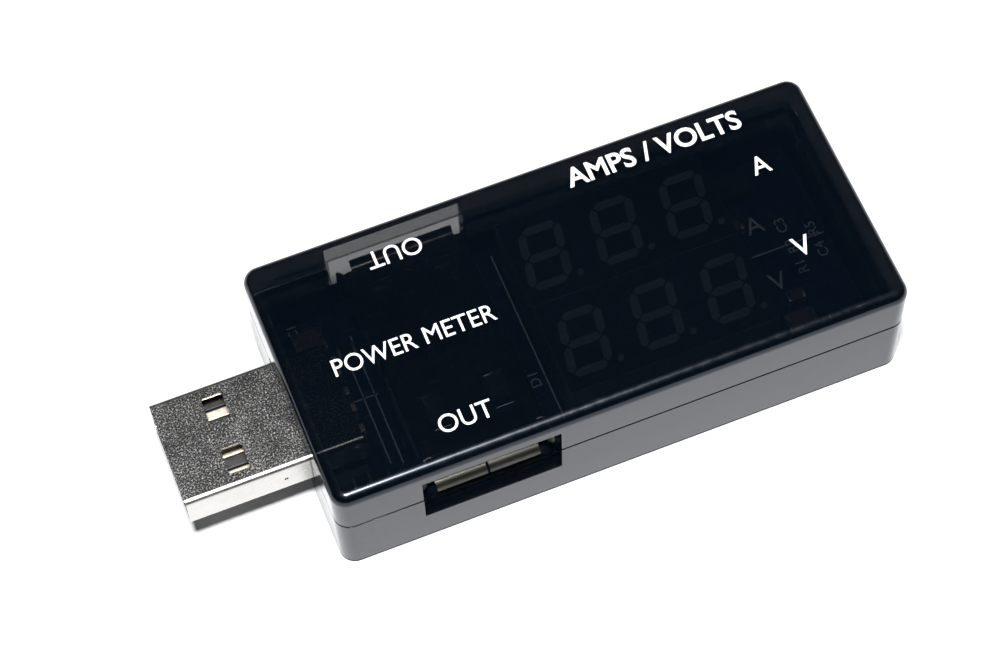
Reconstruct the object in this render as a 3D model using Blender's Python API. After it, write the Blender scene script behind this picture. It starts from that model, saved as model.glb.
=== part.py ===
"""USB power meter: a pass-through voltage and current meter in a smoked snap-fit case.

The long axis is X, with the USB plug at -X. The front port looks along -Y, the back port
along +Y, and the two displays face +Z through the case's roof. The origin is under the
middle of the whole length, on the plane that the case rests on.
"""
import math

import bmesh
import bpy
from mathutils import Matrix, Vector

MM = 0.001

# Case
PLUG_REACH = 13.0 * MM
CASE_LENGTH = 61.4 * MM
CASE_WIDTH = 28.4 * MM
CASE_HEIGHT = 14.4 * MM
SEAM_HEIGHT = 8.5 * MM
SEAM_GAP = 0.2 * MM
WALL = 1.5 * MM
PLAN_RADIUS = 1.7 * MM
ROOF_RADIUS = 1.2 * MM
FLOOR_RADIUS = 0.45 * MM
LIP_THICKNESS = 0.55 * MM
LIP_RISE = 0.9 * MM
REBATE_DEPTH = 0.8 * MM
REBATE_RISE = 1.3 * MM
CASE_START = PLUG_REACH - (CASE_LENGTH + PLUG_REACH) / 2
CASE_END = CASE_START + CASE_LENGTH
CASE_MIDDLE = (CASE_START + CASE_END) / 2
GAP = 0.3 * MM
THROUGH = 1.0 * MM

# Circuit board
BOARD_BOTTOM = 2.7 * MM
BOARD_THICKNESS = 1.6 * MM
BOARD_TOP = BOARD_BOTTOM + BOARD_THICKNESS
BOARD_EDGE_GAP = 0.5 * MM
PIN_DEPTH = 0.8 * MM
PIN_HOLE_RADIUS = 0.62 * MM
PIN_HOLE_SIDES = 6

# USB plug
PLUG_WIDTH = 12.0 * MM
PLUG_HEIGHT = 4.5 * MM
PLUG_LENGTH = 18.75 * MM
PLUG_BOTTOM = BOARD_TOP + GAP
PLUG_MIDDLE = PLUG_BOTTOM + PLUG_HEIGHT / 2
SHEET = 0.3 * MM
LEG_SHEET = 0.24 * MM
EDGE_RADIUS = 0.5 * MM
INNER_EDGE_RADIUS = 0.2 * MM
PLUG_START = CASE_START - PLUG_REACH
PLUG_WINDOW = (2.2 * MM, 2.9 * MM)
PLUG_WINDOW_SETBACK = 6.15 * MM
PLUG_WINDOW_OFFSET = 3.0 * MM
PLUG_HOLLOW = 12.4 * MM
PLUG_CONTACT_WIDTH = 0.9 * MM
PLUG_CONTACT_SETBACK = 1.2 * MM
PLUG_CONTACT_RECESS = 0.2 * MM
CONTACT_WIDTH = 1.0 * MM
CONTACT_OFFSETS = (-3.5 * MM, -1.0 * MM, 1.0 * MM, 3.5 * MM)
CONTACT_SHEET = 0.25 * MM
SLOT_WIDTH = 1.45 * MM

# Ports and receptacles; a receptacle's own frame has y = 0 at its mouth and +y inwards
OPENING_X = -7.95 * MM
OPENING_WIDTH = 14.6 * MM
OPENING_HEIGHT = 7.25 * MM
PORT_X = -7.7 * MM
PORT_Z = 8.5 * MM
PORT_SETBACK = 2.9 * MM
CAVITY_WIDTH = 12.5 * MM
CAVITY_HEIGHT = 5.12 * MM
SHELL_DEPTH = 10.6 * MM
FLARE_RADIUS = 0.9 * MM
FLARE_ANGLE = math.radians(60)
FLARE_STEPS = 4
FLARE_TAIL = 0.25 * MM
FLARE_SHEET = 0.255 * MM
SEAM_SLIT = 0.25 * MM
LONG_FLARE = 11.1 * MM
SHORT_FLARE = 3.7 * MM
FINGER_OFFSET = 3.3 * MM
FINGER_WIDTH = 1.8 * MM
FINGER_SHEET = 0.225 * MM
FINGER_ROOT = 6.8 * MM
FINGER_BEND = 6.0 * MM
FINGER_BOW = (3.6 * MM, 3.0 * MM)
FINGER_BOW_DEPTH = 0.3 * MM
FINGER_TIP = 2.65 * MM
FINGER_TIP_DEPTH = 0.17 * MM
FINGER_WINDOW_LENGTH = 4.4 * MM
FINGER_WINDOW_MIDDLE = 4.2 * MM
LEG_WIDTH = 1.4 * MM
LEG_PLACES = (2.0 * MM, 8.0 * MM)
TONGUE_WIDTH = 11.1 * MM
TONGUE_THICKNESS = 1.84 * MM
TONGUE_BOTTOM = 0.05 * MM
TONGUE_FRONT = 0.45 * MM
TONGUE_NOSE_RADIUS = 0.3 * MM
CONTACT_SLOT_FRONT = 1.2 * MM
HOUSING_BACK = (8.5 * MM, 9.7 * MM)
SLOT_ROOF = 1.2 * MM
HINGE_Y = 8.2 * MM
HINGE_Z = 0.75 * MM
TAIL_Y = 10.1 * MM
TAIL_WIDTH = 0.7 * MM
SPRING_BEND = 0.7 * MM
SPRING_BOW = (4.7 * MM, 0.98 * MM)
SPRING_CREST = (5.1 * MM, 1.05 * MM)
SPRING_RISE = (5.5 * MM, 0.95 * MM)
SPRING_TIP = (6.3 * MM, 0.45 * MM)

# Displays
DISPLAY_SIZE = (22.6 * MM, 10.2 * MM, 6.1 * MM)
DISPLAY_X = 13.1 * MM
DISPLAY_Y = -0.4 * MM
DISPLAY_PITCH = 10.5 * MM
DISPLAY_TOP = CASE_HEIGHT - WALL - GAP
DISPLAY_PINS = 6
DISPLAY_PIN_PITCH = 2.54 * MM
DISPLAY_PIN_ROWS = 7.62 * MM
DISPLAY_PIN = 0.5 * MM
DISPLAY_CORNER = 0.3 * MM

# Snap clips and locating posts
CLIP_PLACES = (-18.1 * MM, 30.6 * MM)
CLIP_WIDTH = 4.2 * MM
CLIP_THICKNESS = 0.9 * MM
CLIP_TOP = 12.2 * MM
CLIP_HOOK = 0.55 * MM
POST_X = (-21.0 * MM, 33.0 * MM)
POST_Y = 9.6 * MM
POST_RADIUS = 1.5 * MM
POST_SIDES = 12
PEG_RADIUS = 0.6 * MM

# Chips: name, (length, width, height), legs on each side, pitch and (x, y), in millimetres
CHIPS = (
    ("microcontroller", (6.5, 4.4, 1.2), 8, 0.8, (8.0, -5.6)),
    ("display_driver", (5.0, 3.9, 1.2), 4, 1.27, (18.0, -5.6)),
    ("sense_amplifier", (5.0, 3.9, 1.2), 4, 1.27, (13.0, 4.8)),
)
CHIP_STANDOFF = 0.15 * MM
CHIP_CORNER = 0.2 * MM
CHIP_LEG_REACH = 0.9 * MM
CHIP_LEG_SHEET = 0.15 * MM
CHIP_FOOT_HEIGHT = 0.1 * MM
CHIP_KNEE_SLOPE = 0.1 * MM
CHIP_LEG_SHARE = 0.35

# Small parts: name, (length, width, height) and (x, y), in millimetres, with the material
SMALL_PARTS = (
    ("shunt_resistor", (6.3, 3.2, 0.7), (5.6, 4.8), "resistor_black"),
    ("voltage_regulator", (4.5, 2.5, 1.5), (27.6, 8.6), "chip_black"),
    ("input_capacitor", (3.2, 2.5, 1.8), (-19.6, 8.0), "capacitor_ceramic"),
    ("output_capacitor", (3.2, 2.5, 1.8), (28.0, -9.0), "capacitor_ceramic"),
    ("decoupling_capacitor_1", (2.0, 1.25, 1.1), (26.3, 4.2), "capacitor_ceramic"),
    ("decoupling_capacitor_2", (2.0, 1.25, 1.1), (28.9, -5.6), "capacitor_ceramic"),
    ("divider_resistor_1", (2.0, 1.25, 0.5), (-16.2, 6.4), "resistor_black"),
    ("divider_resistor_2", (2.0, 1.25, 0.5), (-16.2, -8.6), "resistor_black"),
    ("data_resistor_1", (2.0, 1.25, 0.5), (-19.8, -8.2), "resistor_black"),
)
SMALL_PART_CORNER = 0.15 * MM


def clear_scene():
    for item in list(bpy.data.objects):
        bpy.data.objects.remove(item, do_unlink=True)


def new_collection(name):
    collection = bpy.data.collections.new(name)
    bpy.context.scene.collection.children.link(collection)
    return collection


def make_material(name, colour, roughness, metallic):
    material = bpy.data.materials.new(name)
    material.use_nodes = True
    shader = material.node_tree.nodes["Principled BSDF"]
    shader.inputs["Base Color"].default_value = (*colour, 1.0)
    shader.inputs["Roughness"].default_value = roughness
    shader.inputs["Metallic"].default_value = metallic
    return material


def add_object(name, mesh, collection, location=(0, 0, 0)):
    item = bpy.data.objects.new(name, mesh)
    collection.objects.link(item)
    item.location = location
    return item


def mesh_from(bm, name):
    mesh = bpy.data.meshes.new(name)
    bm.to_mesh(mesh)
    bm.free()
    return mesh


def add_box(bm, size, center):
    placing = Matrix.Translation(center) @ Matrix.Diagonal((*size, 1.0))
    bmesh.ops.create_cube(bm, size=1.0, matrix=placing)


def box_mesh(name, size, center):
    bm = bmesh.new()
    add_box(bm, size, center)
    return mesh_from(bm, name)


def boxes_mesh(name, size, centers):
    bm = bmesh.new()
    for center in centers:
        add_box(bm, size, center)
    return mesh_from(bm, name)


def rods_mesh(name, radius, low, high, places, sides=8):
    bm = bmesh.new()
    for x, y in places:
        placing = Matrix.Translation((x, y, (low + high) / 2))
        bmesh.ops.create_cone(bm, cap_ends=True, segments=sides, radius1=radius,
                              radius2=radius, depth=high - low, matrix=placing)
    return mesh_from(bm, name)


def edges_along(bm, axis):
    """Edges parallel to one world axis (0, 1 or 2)."""
    found = []
    for edge in bm.edges:
        span = edge.verts[1].co - edge.verts[0].co
        if abs(span[axis]) > 0.999 * span.length:
            found.append(edge)
    return found


def edges_at_height(bm, height):
    """Edges that lie in the plane z = height."""
    return [edge for edge in bm.edges
            if all(abs(vert.co.z - height) < 1e-7 for vert in edge.verts)]


def bevel(bm, edges, radius, segments):
    bmesh.ops.bevel(bm, geom=edges, offset=radius, offset_type="OFFSET", segments=segments,
                    profile=0.5, affect="EDGES", clamp_overlap=False)


def rounded_box_mesh(name, size, center, plan_radius, top_radius=0.0, bottom_radius=0.0,
                     plan_steps=4, rim_steps=4):
    """A box with rounded upright edges, and rounded rims where a radius is given."""
    bm = bmesh.new()
    add_box(bm, size, center)
    bevel(bm, edges_along(bm, 2), plan_radius, plan_steps)
    if top_radius:
        bevel(bm, edges_at_height(bm, center[2] + size[2] / 2), top_radius, rim_steps)
    if bottom_radius:
        bevel(bm, edges_at_height(bm, center[2] - size[2] / 2), bottom_radius, rim_steps)
    return mesh_from(bm, name)


def rounded_bar_mesh(name, size, center, radius, steps=3):
    """A box with its edges along X rounded, such as the inside or outside of a plug shell."""
    bm = bmesh.new()
    add_box(bm, size, center)
    bevel(bm, edges_along(bm, 0), radius, steps)
    return mesh_from(bm, name)


def strip_outline(path, thickness):
    """The closed outline of a sheet strip whose middle line follows the path."""
    points = [Vector(point) for point in path]
    left, right = [], []
    for index, point in enumerate(points):
        before = points[index] - points[index - 1] if index else points[1] - points[0]
        is_last = index == len(points) - 1
        after = before if is_last else points[index + 1] - points[index]
        before, after = before.normalized(), after.normalized()
        along = (before + after).normalized()
        normal = Vector((-along.y, along.x))
        reach = thickness / 2 / max(along.dot(after), 0.3)
        left.append(point + normal * reach)
        right.append(point - normal * reach)
    return left + right[::-1]


def extruded_mesh(name, outline, width, turn):
    """A flat outline given half its width each way, then turned into place."""
    curve = bpy.data.curves.new(name, "CURVE")
    curve.dimensions = "2D"
    curve.fill_mode = "BOTH"
    curve.extrude = width / 2
    spline = curve.splines.new("POLY")
    spline.points.add(len(outline) - 1)
    for point, place in zip(spline.points, outline):
        point.co = (place[0], place[1], 0.0, 1.0)
    spline.use_cyclic_u = True
    holder = add_object(name, curve, bpy.context.scene.collection)
    bpy.context.view_layer.update()
    graph = bpy.context.evaluated_depsgraph_get()
    mesh = bpy.data.meshes.new_from_object(holder.evaluated_get(graph))
    bpy.data.objects.remove(holder, do_unlink=True)
    bpy.data.curves.remove(curve)
    bm = bmesh.new()
    bm.from_mesh(mesh)
    bpy.data.meshes.remove(mesh)
    bmesh.ops.remove_doubles(bm, verts=bm.verts, dist=1e-7)
    bmesh.ops.transform(bm, matrix=turn, verts=bm.verts)
    bmesh.ops.recalc_face_normals(bm, faces=bm.faces)
    return mesh_from(bm, name)


# Outlines drawn in (y, z) and given their width along X
SIDEWAYS = Matrix(((0, 0, 1, 0), (1, 0, 0, 0), (0, 1, 0, 0), (0, 0, 0, 1)))
# Outlines drawn in (x, z) and given their width along Y
LENGTHWAYS = Matrix(((1, 0, 0, 0), (0, 0, -1, 0), (0, 1, 0, 0), (0, 0, 0, 1)))


def boolean(target, other, operation):
    modifier = target.modifiers.new(operation.title(), "BOOLEAN")
    modifier.operation = operation
    modifier.solver = "EXACT"
    modifier.object = other


def add_tool(name, mesh, location=(0, 0, 0)):
    """A hidden object that another object is cut with or joined to."""
    item = add_object(name, mesh, TOOLS, location)
    item.hide_render = True
    item.display_type = "WIRE"
    return item


def cut(target, mesh, location=(0, 0, 0)):
    boolean(target, add_tool(mesh.name, mesh, location), "DIFFERENCE")


def join(target, mesh, location=(0, 0, 0)):
    boolean(target, add_tool(mesh.name, mesh, location), "UNION")


def finished_mesh(item, name):
    """The object's mesh with its modifiers applied, so that copies can share it."""
    bpy.context.view_layer.update()
    graph = bpy.context.evaluated_depsgraph_get()
    mesh = bpy.data.meshes.new_from_object(item.evaluated_get(graph))
    mesh.name = name
    bpy.data.objects.remove(item, do_unlink=True)
    return mesh


def add_part(name, mesh, material, location=(0, 0, 0)):
    item = add_object(name, mesh, PARTS, location)
    if not mesh.materials:
        mesh.materials.append(material)
    return item


def opening_box(name):
    size = (OPENING_WIDTH, CASE_WIDTH + 2 * THROUGH, OPENING_HEIGHT)
    return box_mesh(name, size, (OPENING_X, 0, PORT_Z))


def plug_hole(name):
    size = (3 * WALL, PLUG_WIDTH + 2 * GAP, PLUG_HEIGHT + 2 * GAP)
    return box_mesh(name, size, (CASE_START, 0, PLUG_MIDDLE))


def build_upper_case(material):
    low = SEAM_HEIGHT + SEAM_GAP / 2
    size = (CASE_LENGTH, CASE_WIDTH, CASE_HEIGHT - low)
    center = (CASE_MIDDLE, 0, (CASE_HEIGHT + low) / 2)
    mesh = rounded_box_mesh("upper_case", size, center, PLAN_RADIUS, top_radius=ROOF_RADIUS)
    case = add_part("upper_case", mesh, material)
    inner_low = low - THROUGH
    inner_high = CASE_HEIGHT - WALL
    inside = (CASE_LENGTH - 2 * WALL, CASE_WIDTH - 2 * WALL, inner_high - inner_low)
    cut(case, rounded_box_mesh("upper_hollow", inside,
                               (CASE_MIDDLE, 0, (inner_high + inner_low) / 2),
                               PLAN_RADIUS / 2, plan_steps=3))
    rebate_inset = WALL - REBATE_DEPTH
    rebate_high = low + REBATE_RISE
    rebate = (CASE_LENGTH - 2 * rebate_inset, CASE_WIDTH - 2 * rebate_inset,
              rebate_high - inner_low)
    cut(case, rounded_box_mesh("lip_rebate", rebate,
                               (CASE_MIDDLE, 0, (rebate_high + inner_low) / 2),
                               PLAN_RADIUS - rebate_inset, plan_steps=3))
    cut(case, opening_box("upper_port_openings"))
    cut(case, plug_hole("upper_plug_hole"))
    pocket_size = (CLIP_WIDTH + 2 * GAP, CASE_WIDTH - 2 * WALL + 2 * CLIP_HOOK + GAP,
                   2 * CLIP_HOOK + 2 * GAP)
    centers = [(x, 0, CLIP_TOP - 2 * CLIP_HOOK) for x in CLIP_PLACES]
    cut(case, boxes_mesh("hook_pockets", pocket_size, centers))


def clip_outline(side):
    """A snap arm in (y, z): it rises from the floor beside the wall, with a hook on top."""
    wall = CASE_WIDTH / 2 - WALL
    outer = wall - GAP
    inner = outer - CLIP_THICKNESS
    hook_low = CLIP_TOP - 3 * CLIP_HOOK
    hook_tip = CLIP_TOP - 2 * CLIP_HOOK
    root_top = SEAM_HEIGHT - LIP_RISE
    points = [
        (inner, WALL / 2),
        (wall + WALL / 2, WALL / 2),
        (wall + WALL / 2, root_top),
        (outer, root_top),
        (outer, hook_low),
        (wall + CLIP_HOOK - GAP, hook_tip),
        (outer, CLIP_TOP),
        (inner, CLIP_TOP),
    ]
    return [(side * y, z) for y, z in points]


def post_places():
    return [(x, side * POST_Y) for x in POST_X for side in (1, -1)]


def build_lower_case(material):
    high = SEAM_HEIGHT - SEAM_GAP / 2
    size = (CASE_LENGTH, CASE_WIDTH, high)
    mesh = rounded_box_mesh("lower_case", size, (CASE_MIDDLE, 0, high / 2), PLAN_RADIUS,
                            bottom_radius=FLOOR_RADIUS, rim_steps=2)
    case = add_part("lower_case", mesh, material)
    lip_inset = WALL - LIP_THICKNESS
    lip_low = high - WALL
    lip_high = high + LIP_RISE
    lip = (CASE_LENGTH - 2 * lip_inset, CASE_WIDTH - 2 * lip_inset, lip_high - lip_low)
    join(case, rounded_box_mesh("lip_block", lip, (CASE_MIDDLE, 0, (lip_high + lip_low) / 2),
                                PLAN_RADIUS - lip_inset, plan_steps=3))
    hollow_high = lip_high + THROUGH
    inside = (CASE_LENGTH - 2 * WALL, CASE_WIDTH - 2 * WALL, hollow_high - WALL)
    cut(case, rounded_box_mesh("lower_hollow", inside,
                               (CASE_MIDDLE, 0, (hollow_high + WALL) / 2),
                               PLAN_RADIUS / 2, plan_steps=3))
    cut(case, opening_box("lower_port_openings"))
    cut(case, plug_hole("lower_plug_hole"))
    for number, x in enumerate(CLIP_PLACES, start=1):
        for side, label in ((-1, "front"), (1, "back")):
            name = f"{label}_clip_{number}"
            join(case, extruded_mesh(name, clip_outline(side), CLIP_WIDTH, SIDEWAYS), (x, 0, 0))
    join(case, rods_mesh("posts", POST_RADIUS, WALL / 2, BOARD_BOTTOM - GAP, post_places(),
                         POST_SIDES))
    join(case, rods_mesh("pegs", PEG_RADIUS, WALL, BOARD_TOP + GAP, post_places()))


def receptacle_places(local_places):
    """World (x, y) of points given in both receptacles' frames."""
    mouth = CASE_WIDTH / 2 - PORT_SETBACK
    return [(PORT_X + turn * x, turn * (y - mouth)) for turn in (1, -1) for x, y in local_places]


def display_centers():
    for label, side in (("current", 1), ("voltage", -1)):
        yield label, DISPLAY_Y + side * DISPLAY_PITCH / 2


def display_pin_places(center_x, center_y):
    first = -(DISPLAY_PINS - 1) / 2
    for row in (-DISPLAY_PIN_ROWS / 2, DISPLAY_PIN_ROWS / 2):
        for index in range(DISPLAY_PINS):
            yield center_x + (first + index) * DISPLAY_PIN_PITCH, center_y + row


def build_board(material):
    length = CASE_LENGTH - 2 * (WALL + BOARD_EDGE_GAP)
    width = CASE_WIDTH - 2 * (WALL + BOARD_EDGE_GAP)
    middle = (BOARD_BOTTOM + BOARD_TOP) / 2
    plate = box_mesh("circuit_board", (length, width, BOARD_THICKNESS), (CASE_MIDDLE, 0, middle))
    board = add_part("circuit_board", plate, material)
    notch = (CLIP_WIDTH + 2 * GAP, CLIP_THICKNESS + 3 * GAP, 2 * BOARD_THICKNESS)
    notch_y = CASE_WIDTH / 2 - WALL - GAP - CLIP_THICKNESS / 2
    cut(board, boxes_mesh("clip_notches", notch, [(x, side * notch_y, middle)
                                                  for x in CLIP_PLACES for side in (-1, 1)]))
    low, high = BOARD_BOTTOM - THROUGH, BOARD_TOP + THROUGH
    pin_holes = receptacle_places([(x, TAIL_Y) for x in CONTACT_OFFSETS])
    pin_holes += [(plug_tail_x(), y) for y in CONTACT_OFFSETS]
    for _, center_y in display_centers():
        pin_holes += list(display_pin_places(DISPLAY_X, center_y))
    cut(board, rods_mesh("pin_holes", PIN_HOLE_RADIUS, low, high, pin_holes, PIN_HOLE_SIDES))
    cut(board, rods_mesh("peg_holes", PEG_RADIUS + GAP, low, high, post_places()))
    slot = (SHEET + 2 * GAP, LEG_WIDTH + 2 * GAP, 2 * BOARD_THICKNESS)
    leg_x = CAVITY_WIDTH / 2 + SHEET / 2
    slots = receptacle_places([(side * leg_x, y) for side in (-1, 1) for y in LEG_PLACES])
    cut(board, boxes_mesh("leg_slots", slot, [(x, y, middle) for x, y in slots]))
    slot = (LEG_WIDTH + 2 * GAP, SHEET + 2 * GAP, 2 * BOARD_THICKNESS)
    cut(board, boxes_mesh("plug_leg_slots", slot, [(x, y, middle) for x, y in plug_legs()]))


def plug_legs():
    leg_y = PLUG_WIDTH / 2 - SHEET / 2
    leg_x = PLUG_START + PLUG_LENGTH - LEG_WIDTH
    return [(leg_x, side * leg_y) for side in (-1, 1)]


def plug_tail_x():
    return PLUG_START + PLUG_LENGTH + 2 * GAP


def build_plug(nickel, plastic, gold):
    middle_x = PLUG_START + PLUG_LENGTH / 2
    outside = (PLUG_LENGTH, PLUG_WIDTH, PLUG_HEIGHT)
    middle = (middle_x, 0, PLUG_MIDDLE)
    shell = add_part("plug_shell", rounded_bar_mesh("plug_shell", outside, middle, EDGE_RADIUS),
                     nickel)
    inside = (PLUG_LENGTH + 2 * THROUGH, PLUG_WIDTH - 2 * SHEET, PLUG_HEIGHT - 2 * SHEET)
    cut(shell, rounded_bar_mesh("plug_hollow", inside, middle, INNER_EDGE_RADIUS, 2))
    window_x = PLUG_START + PLUG_WINDOW_SETBACK
    window = (*PLUG_WINDOW, PLUG_HEIGHT + THROUGH)
    centers = [(window_x, side * PLUG_WINDOW_OFFSET, PLUG_MIDDLE) for side in (-1, 1)]
    cut(shell, boxes_mesh("plug_windows", window, centers))
    leg_low = BOARD_BOTTOM - PIN_DEPTH
    leg_high = PLUG_MIDDLE
    leg = (LEG_WIDTH, LEG_SHEET, leg_high - leg_low)
    join(shell, boxes_mesh("plug_legs", leg, [(x, y, (leg_low + leg_high) / 2)
                                              for x, y in plug_legs()]))
    build_plug_insulator(plastic)
    build_plug_contacts(gold)


def build_plug_insulator(plastic):
    """The block that holds the contacts: half height at the tip, full height at the back."""
    low = PLUG_BOTTOM + SHEET + GAP
    half = PLUG_MIDDLE
    high = PLUG_BOTTOM + PLUG_HEIGHT - SHEET - GAP
    tip = PLUG_START + GAP
    step = PLUG_START + PLUG_HOLLOW
    back = PLUG_START + PLUG_LENGTH
    outline = [(tip, low), (back, low), (back, high), (step, high), (step, half), (tip, half)]
    width = PLUG_WIDTH - 2 * SHEET - 2 * GAP
    block = add_part("plug_insulator", extruded_mesh("plug_insulator", outline, width, LENGTHWAYS),
                     plastic)
    slot_low = half - CONTACT_SHEET - PLUG_CONTACT_RECESS
    slot_high = half + GAP
    slot = (PLUG_LENGTH + 2 * THROUGH, SLOT_WIDTH, slot_high - slot_low)
    middle_x = tip + 2 * CONTACT_SHEET + slot[0] / 2
    centers = [(middle_x, y, (slot_low + slot_high) / 2) for y in CONTACT_OFFSETS]
    cut(block, boxes_mesh("plug_contact_slots", slot, centers))


def build_plug_contacts(gold):
    top = PLUG_MIDDLE - CONTACT_SHEET / 2
    start = PLUG_START + PLUG_CONTACT_SETBACK
    tail = plug_tail_x()
    path = [(start, top), (tail, top), (tail, BOARD_BOTTOM - PIN_DEPTH)]
    mesh = extruded_mesh("plug_contact", strip_outline(path, CONTACT_SHEET),
                         PLUG_CONTACT_WIDTH, LENGTHWAYS)
    for number, y in enumerate(CONTACT_OFFSETS, start=1):
        add_part(f"plug_contact_{number}", mesh, gold, (0, y, 0))


def flare_path(start_z):
    """Middle line of a flared lip in (y, z), from inside the shell's wall to its free edge."""
    points = [(2 * SHEET, start_z)]
    for index in range(FLARE_STEPS + 1):
        angle = FLARE_ANGLE * index / FLARE_STEPS
        points.append((-FLARE_RADIUS * math.sin(angle),
                       start_z + FLARE_RADIUS * (1 - math.cos(angle))))
    last = points[-1]
    points.append((last[0] - FLARE_TAIL * math.cos(FLARE_ANGLE),
                   last[1] + FLARE_TAIL * math.sin(FLARE_ANGLE)))
    return points


def finger_path(start_z):
    """Middle line of a spring finger: rooted behind its window, bowed towards the plug."""
    bow_z = start_z - FINGER_BOW_DEPTH
    return [(FINGER_ROOT, start_z), (FINGER_BEND, start_z), (FINGER_BOW[0], bow_z),
            (FINGER_BOW[1], bow_z), (FINGER_TIP, start_z - FINGER_TIP_DEPTH)]


def receptacle_shell_mesh(nickel):
    """The rolled shell: a box tube with flared lips, spring fingers, legs and a seam slit."""
    bm = bmesh.new()
    size = (CAVITY_WIDTH + 2 * SHEET, SHELL_DEPTH, CAVITY_HEIGHT + 2 * SHEET)
    add_box(bm, size, (0, SHELL_DEPTH / 2, 0))
    bevel(bm, edges_along(bm, 1), EDGE_RADIUS, 2)
    shell = add_object("receptacle_blank", mesh_from(bm, "receptacle_blank"), TOOLS)
    bm = bmesh.new()
    hollow = (CAVITY_WIDTH, SHELL_DEPTH + 2 * THROUGH, CAVITY_HEIGHT)
    add_box(bm, hollow, (0, SHELL_DEPTH / 2, 0))
    bevel(bm, edges_along(bm, 1), INNER_EDGE_RADIUS, 1)
    cut(shell, mesh_from(bm, "receptacle_hollow"))

    plate_z = CAVITY_HEIGHT / 2 + SHEET / 2
    plate_x = CAVITY_WIDTH / 2 + SHEET / 2
    window = (FINGER_WIDTH + 2 * GAP, FINGER_WINDOW_LENGTH, CAVITY_HEIGHT + 4 * SHEET)
    centers = [(side * FINGER_OFFSET, FINGER_WINDOW_MIDDLE, 0) for side in (-1, 1)]
    cut(shell, boxes_mesh("finger_windows", window, centers))
    tail_notch = (2 * CONTACT_OFFSETS[3] + 2 * CONTACT_WIDTH, 2 * (SHELL_DEPTH - HOUSING_BACK[1]),
                  2 * SHEET)
    cut(shell, box_mesh("tail_notch", tail_notch, (0, SHELL_DEPTH, -plate_z)))

    long_lip = strip_outline(flare_path(plate_z), FLARE_SHEET)
    finger = strip_outline(finger_path(plate_z), FINGER_SHEET)
    for name, outline, width, offset in (
            ("lip", long_lip, LONG_FLARE, 0),
            ("left_finger", finger, FINGER_WIDTH, -FINGER_OFFSET),
            ("right_finger", finger, FINGER_WIDTH, FINGER_OFFSET)):
        aside = Matrix.Translation((offset, 0, 0)) @ SIDEWAYS
        for half_turn, label in ((0, "top"), (math.pi, "bottom")):
            turn = Matrix.Rotation(half_turn, 4, "Y") @ aside
            join(shell, extruded_mesh(f"{label}_{name}", outline, width, turn))
    side_lip = strip_outline(flare_path(plate_x), FLARE_SHEET)
    for quarter_turn, label in ((math.pi / 2, "right"), (-math.pi / 2, "left")):
        turn = Matrix.Rotation(quarter_turn, 4, "Y") @ SIDEWAYS
        join(shell, extruded_mesh(f"{label}_lip", side_lip, SHORT_FLARE, turn))
    slit = (SEAM_SLIT, 4 * FLARE_RADIUS, 6 * SHEET)
    cut(shell, box_mesh("seam_slit", slit, (0, -FLARE_RADIUS, -plate_z - SHEET)))

    leg_bottom = BOARD_BOTTOM - PIN_DEPTH - PORT_Z
    leg_top = -CAVITY_HEIGHT / 4
    leg = (LEG_SHEET, LEG_WIDTH, leg_top - leg_bottom)
    leg_z = (leg_top + leg_bottom) / 2
    centers = [(side * plate_x, y, leg_z) for side in (-1, 1) for y in LEG_PLACES]
    join(shell, boxes_mesh("receptacle_legs", leg, centers))
    mesh = finished_mesh(shell, "receptacle_shell")
    mesh.materials.append(nickel)
    return mesh


def receptacle_housing_mesh(plastic):
    """The tongue that carries the contacts, with the block that closes the shell's back."""
    tongue_top = TONGUE_BOTTOM + TONGUE_THICKNESS
    front = TONGUE_FRONT
    back_start, back_end = HOUSING_BACK
    bm = bmesh.new()
    add_box(bm, (TONGUE_WIDTH, back_start - front + GAP, TONGUE_THICKNESS),
            (0, (back_start + front + GAP) / 2, (TONGUE_BOTTOM + tongue_top) / 2))
    nose = [edge for edge in edges_along(bm, 0) if edge.verts[0].co.y < 2 * front]
    bevel(bm, nose, TONGUE_NOSE_RADIUS, 2)
    housing = add_object("housing_blank", mesh_from(bm, "housing_blank"), TOOLS)
    block = (CAVITY_WIDTH - 2 * GAP, back_end - back_start, CAVITY_HEIGHT - 2 * GAP)
    join(housing, box_mesh("housing_back", block, (0, (back_start + back_end) / 2, 0)))
    slot_low = TONGUE_BOTTOM - GAP
    slot = (SLOT_WIDTH, back_end, SLOT_ROOF - slot_low)
    slot_y = CONTACT_SLOT_FRONT + back_end / 2
    centers = [(x, slot_y, (SLOT_ROOF + slot_low) / 2) for x in CONTACT_OFFSETS]
    cut(housing, boxes_mesh("contact_slots", slot, centers))
    mesh = finished_mesh(housing, "receptacle_housing")
    mesh.materials.append(plastic)
    return mesh


def contact_spring_mesh(gold):
    """A contact's sprung arm, drawn from its hinge: it bows down and its tip turns back up."""
    path = [(0, 0), (-SPRING_BEND, 0)]
    path += [(-reach, -drop) for reach, drop in (SPRING_BOW, SPRING_CREST, SPRING_RISE, SPRING_TIP)]
    mesh = extruded_mesh("contact_spring", strip_outline(path, CONTACT_SHEET), CONTACT_WIDTH,
                         SIDEWAYS)
    mesh.materials.append(gold)
    return mesh


def contact_tail_mesh(gold):
    """A contact's fixed end: through the housing's back, then down through the board."""
    start = HINGE_Y + GAP
    bottom = BOARD_BOTTOM - PIN_DEPTH - PORT_Z
    path = [(start, HINGE_Z), (TAIL_Y, HINGE_Z), (TAIL_Y, bottom)]
    mesh = extruded_mesh("contact_tail", strip_outline(path, CONTACT_SHEET), TAIL_WIDTH, SIDEWAYS)
    mesh.materials.append(gold)
    return mesh


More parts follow.
